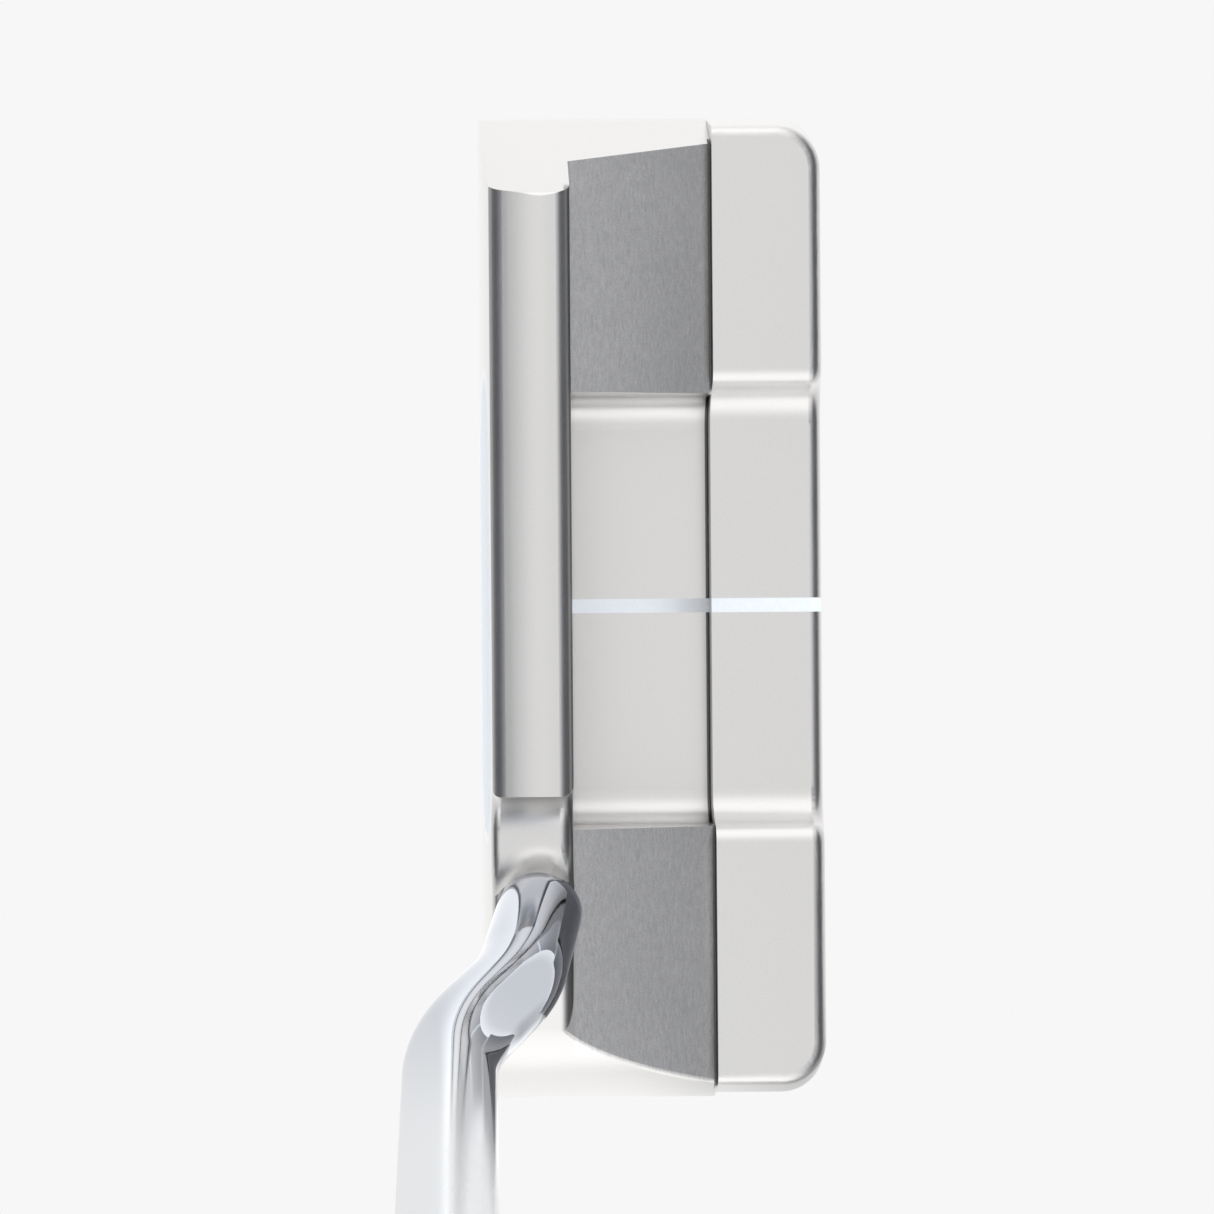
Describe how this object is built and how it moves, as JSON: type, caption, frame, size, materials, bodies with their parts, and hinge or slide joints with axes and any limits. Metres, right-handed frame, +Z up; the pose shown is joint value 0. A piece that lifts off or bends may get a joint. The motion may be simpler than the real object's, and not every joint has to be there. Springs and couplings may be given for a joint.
{
  "type": "blade_putter",
  "caption": "Right-handed wide-blade putter with a milled satin head, pale face insert, bent chrome shaft over a hosel post, flat-front grip and screw-in sole weights",
  "frame": {"origin": "Middle of the sole's flat land, straight below the sight line", "axes": "+Z up at address; -Y towards the target (the face's side); +Y towards the trailing edge; +X towards the heel and the player; -X towards the toe"},
  "size_m": [0.3876, 0.056, 0.8155],
  "materials": {
    "satin_steel": "satin, fine bead-blasted and milled",
    "shaft_chrome": "mirror-polished",
    "insert_white": "pale bluish white, satin",
    "tray_aluminium": "fine satin",
    "line_paint": "pale enamel fill",
    "adhesive": "cured epoxy",
    "weight_steel": "turned",
    "washer_nylon": "black nylon",
    "grip_rubber": "fine pistol-textured",
    "grip_foam": "closed-cell foam",
    "tape": "double-sided grip tape"
  },
  "bodies": {
    "root": {"head_body": "satin_steel", "insert_tray": "tray_aluminium", "face_insert": "insert_white", "insert_bond": "adhesive", "sight_line_cavity": "line_paint", "sight_line_flange": "line_paint", "hosel_bond": "adhesive", "shaft": "shaft_chrome", "grip_tape": "tape", "grip_core": "grip_foam", "grip_wrap": "grip_rubber", "grip_cap": "grip_rubber"},
    "toe_washer": {"toe_weight_washer": "washer_nylon"},
    "toe_screw": {"toe_weight": "weight_steel"},
    "heel_washer": {"heel_weight_washer": "washer_nylon"},
    "heel_screw": {"heel_weight": "weight_steel"}
  },
  "joints": [
    {"name": "toe_weight_travel", "type": "slide", "parent": "root", "child": "toe_washer", "axis": [0, 0, -1], "range_m": [0, 0.008]},
    {"name": "toe_weight_turn", "type": "hinge", "parent": "toe_washer", "child": "toe_screw", "pos_m": [-0.037, 0.0015, 0.003], "axis": [0, 0, -1], "range_deg": [0, 2881]},
    {"name": "heel_weight_travel", "type": "slide", "parent": "root", "child": "heel_washer", "axis": [0, 0, -1], "range_m": [0, 0.008]},
    {"name": "heel_weight_turn", "type": "hinge", "parent": "heel_washer", "child": "heel_screw", "pos_m": [0.037, 0.0015, 0.003], "axis": [0, 0, -1], "range_deg": [0, 2881]}
  ],
  "couplings": [
    {"joint": "toe_weight_turn", "follows": "toe_weight_travel", "rad_per_m": 6283.2},
    {"joint": "heel_weight_turn", "follows": "heel_weight_travel", "rad_per_m": 6283.2}
  ]
}
